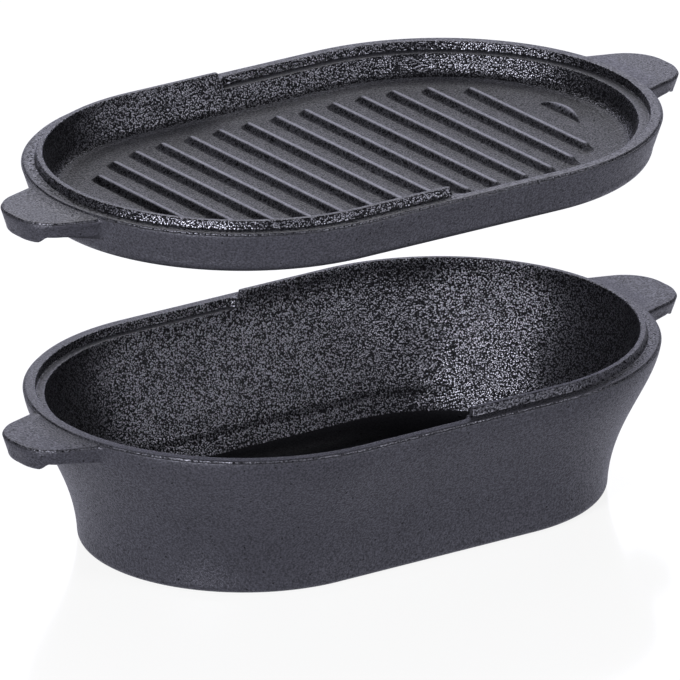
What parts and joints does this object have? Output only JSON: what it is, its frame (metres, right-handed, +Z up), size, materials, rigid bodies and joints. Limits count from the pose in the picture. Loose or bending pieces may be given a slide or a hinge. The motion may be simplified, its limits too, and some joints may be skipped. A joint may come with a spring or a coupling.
{
  "type": "cast iron casserole pot with griddle lid",
  "caption": "Oblong cast iron casserole pot with flared walls and end tabs, and a shallow ribbed griddle lid whose stepped rim locks into the pot's.",
  "frame": {"origin": "middle of the pot's flat base, on the surface that it stands on", "axes": "+Z up, +X along the length through the tab handles, towards the half of the pot's rim that has the raised lip"},
  "size_m": [0.384, 0.214, 0.1975],
  "materials": {
    "pot_iron": "bare seasoned cast iron, fine sand grain outside, darker and pebbled inside",
    "lid_iron": "bare seasoned cast iron, fine sand grain, matte grey ribbed floor"
  },
  "bodies": {
    "pot": {"casserole_pot": "pot_iron"},
    "lid": {"griddle_lid": "lid_iron"}
  },
  "joints": [
    {"name": "lid_lift", "type": "slide", "parent": "pot", "child": "lid", "axis": [0, 0, 1], "range_m": [-0.089, 0.06]}
  ]
}
